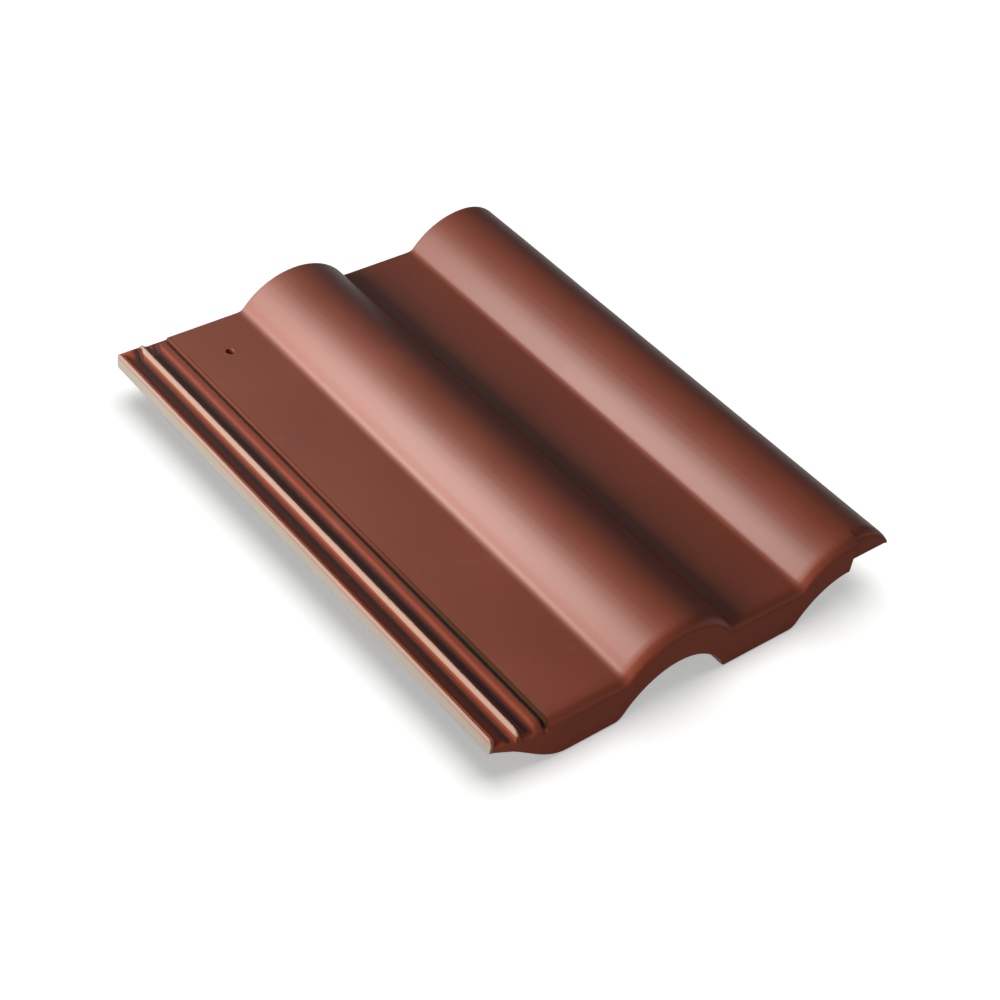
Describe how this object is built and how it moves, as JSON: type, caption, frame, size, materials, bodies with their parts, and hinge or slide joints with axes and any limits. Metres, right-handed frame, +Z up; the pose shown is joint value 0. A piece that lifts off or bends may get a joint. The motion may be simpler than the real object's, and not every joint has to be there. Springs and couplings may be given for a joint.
{
  "type": "interlocking roof tile",
  "caption": "Interlocking clay roof tile with broad rolls and flat pans, a rounded nose at the tail, a ribbed side lap, batten nibs and a nail hole.",
  "frame": {"origin": "middle of the tile's outline, on the floor that its nose and nibs rest on", "axes": "+X across the slope from the underlap edge to the overlap edge, +Y up the slope from the tail to the head, +Z up"},
  "size_m": [0.33, 0.422, 0.059],
  "materials": {
    "fired_clay": "satin brown-red fired clay"
  },
  "bodies": {
    "root": {"roof_tile": "fired_clay"}
  },
  "joints": []
}
